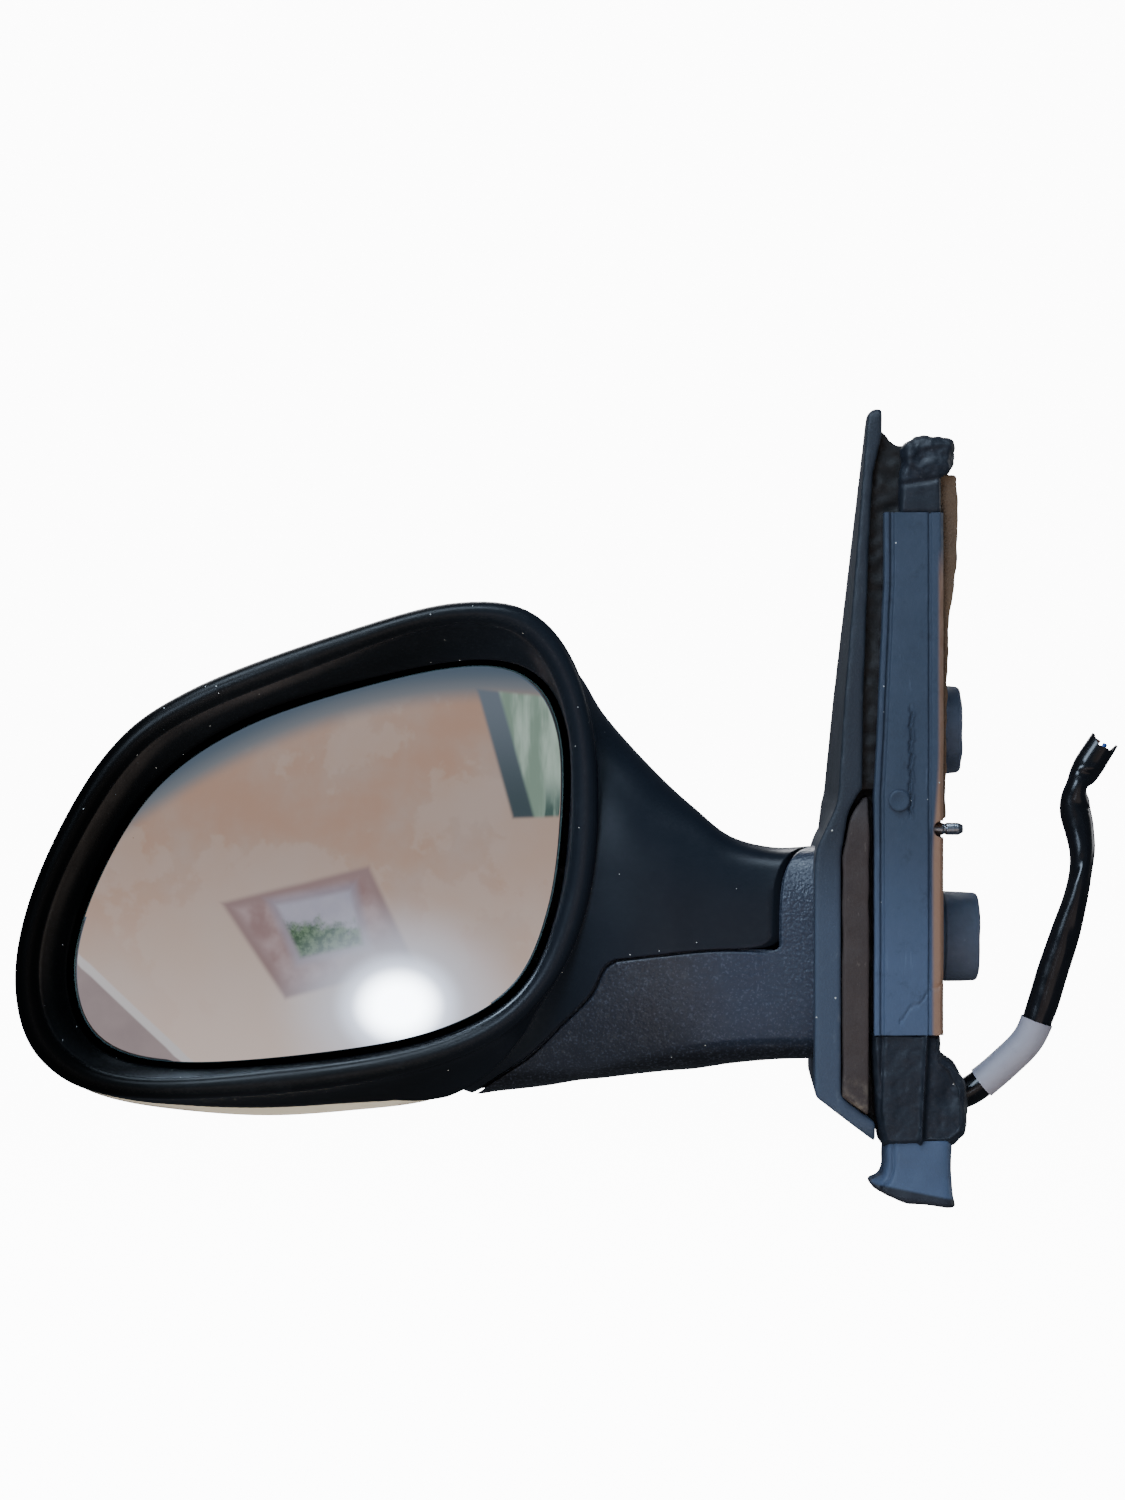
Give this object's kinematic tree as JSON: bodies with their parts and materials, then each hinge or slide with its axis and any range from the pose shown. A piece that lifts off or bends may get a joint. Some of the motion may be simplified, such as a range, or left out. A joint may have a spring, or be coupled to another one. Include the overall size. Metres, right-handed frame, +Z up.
{
  "type": "car side mirror",
  "caption": "Left-hand door mirror with a convex glass tilted by a two-axis actuator, a painted cap, a folding head on a grained foot and a sail-shaped door base with a cable stub.",
  "frame": {"origin": "on the flat door-side face of the base bracket, midway between its two fixing bosses", "axes": "+X into the door, +Y to the front of the car, +Z up; the glass faces -Y, as mounted on the left-hand door"},
  "size_m": [0.3723, 0.1198, 0.268],
  "materials": {
    "black_plastic": "moulded, satin",
    "cream_paint": "clear-coated body paint on moulded plastic",
    "grained_plastic": "fine moulded grain",
    "brown_rubber": "matt",
    "cast_zinc": "as cast",
    "rubber": "matt with a slight bloom",
    "foam": "closed-cell foam",
    "plated_steel": "zinc plated",
    "white_acetal": "moulded",
    "black_nylon": "moulded",
    "white_foam_tape": "foam tape",
    "mirror_silver": "silvered glass",
    "black_vinyl": "glossy soft vinyl",
    "grey_label": "wrapped paper tape",
    "brown_wire": "insulation",
    "blue_wire": "insulation",
    "yellow_wire": "insulation"
  },
  "bodies": {
    "base": {"sail_cover": "grained_plastic", "base_gasket": "brown_rubber", "base_bracket": "cast_zinc", "channel_seal": "rubber", "seal_end_block": "rubber", "door_foam_strip": "foam", "cable_boot": "rubber", "seal_lower_lip": "rubber", "rubber_bush_upper": "rubber", "rubber_bush_lower": "rubber", "threaded_insert_upper": "plated_steel", "threaded_insert_lower": "plated_steel", "locating_stud": "plated_steel", "foot_shell": "grained_plastic", "pivot_tube": "plated_steel", "detent_ring_lower": "plated_steel", "pivot_nut": "plated_steel", "base_harness": "black_nylon", "cable_sleeve": "black_vinyl", "cable_label": "grey_label", "cable_wire_1": "brown_wire", "cable_wire_2": "blue_wire", "cable_wire_3": "yellow_wire"},
    "head": {"head_housing": "black_plastic", "painted_cap": "cream_paint", "head_frame": "cast_zinc", "detent_ring_upper": "plated_steel", "thrust_washer": "plated_steel", "pivot_spring": "plated_steel", "actuator_case_front": "black_nylon", "actuator_case_rear": "black_nylon", "pan_motor": "plated_steel", "tilt_motor": "plated_steel", "head_connector": "black_nylon", "head_harness": "black_nylon", "actuator_screw_1": "plated_steel", "actuator_screw_2": "plated_steel", "actuator_screw_3": "plated_steel", "frame_screw_1": "plated_steel", "frame_screw_2": "plated_steel"},
    "gimbal": {"gimbal_ring": "white_acetal"},
    "glass": {"glass_carrier": "black_nylon", "adhesive_pad": "white_foam_tape", "mirror_glass": "mirror_silver"},
    "pan_rod": {"pan_rod": "white_acetal"},
    "tilt_rod": {"tilt_rod": "white_acetal"},
    "pan_gear": {"pan_gear": "white_acetal"},
    "tilt_gear": {"tilt_gear": "white_acetal"},
    "pan_worm": {"pan_worm": "plated_steel"},
    "tilt_worm": {"tilt_worm": "plated_steel"}
  },
  "joints": [
    {"name": "head_fold", "type": "hinge", "parent": "base", "child": "head", "pos_m": [-0.07, 0.003, 0], "axis": [0, 0, 1], "range_deg": [-60, 60]},
    {"name": "glass_pan", "type": "hinge", "parent": "head", "child": "gimbal", "pos_m": [-0.211, 0.005, -0.0105], "axis": [0, 0, 1], "range_deg": [-8, 8]},
    {"name": "glass_tilt", "type": "hinge", "parent": "gimbal", "child": "glass", "pos_m": [-0.211, 0.005, -0.0105], "axis": [1, 0, 0], "range_deg": [-8, 8]},
    {"name": "pan_rod_slide", "type": "slide", "parent": "head", "child": "pan_rod", "axis": [0, 1, 0], "range_m": [-0.0042, 0.0042]},
    {"name": "tilt_rod_slide", "type": "slide", "parent": "head", "child": "tilt_rod", "axis": [0, 1, 0], "range_m": [-0.0042, 0.0042]},
    {"name": "pan_gear_spin", "type": "hinge", "parent": "head", "child": "pan_gear", "pos_m": [-0.232, 0.024, -0.0105], "axis": [0, 0, 1], "range_deg": [-58, 58]},
    {"name": "tilt_gear_spin", "type": "hinge", "parent": "head", "child": "tilt_gear", "pos_m": [-0.211, 0.024, -0.0315], "axis": [1, 0, 0], "range_deg": [-58, 58]},
    {"name": "pan_worm_spin", "type": "hinge", "parent": "head", "child": "pan_worm", "pos_m": [-0.232, 0.0346, 0.006], "axis": [1, 0, 0], "range_deg": [-1150, 1150]},
    {"name": "tilt_worm_spin", "type": "hinge", "parent": "head", "child": "tilt_worm", "pos_m": [-0.1945, 0.0346, -0.0315], "axis": [0, 0, 1], "range_deg": [-1150, 1150]}
  ],
  "couplings": [
    {"joint": "pan_rod_slide", "follows": "glass_pan", "m_per_rad": -0.028},
    {"joint": "tilt_rod_slide", "follows": "glass_tilt", "m_per_rad": 0.028},
    {"joint": "pan_gear_spin", "follows": "glass_pan", "ratio": 7},
    {"joint": "tilt_gear_spin", "follows": "glass_tilt", "ratio": 7},
    {"joint": "pan_worm_spin", "follows": "glass_pan", "ratio": 140},
    {"joint": "tilt_worm_spin", "follows": "glass_tilt", "ratio": -140}
  ]
}
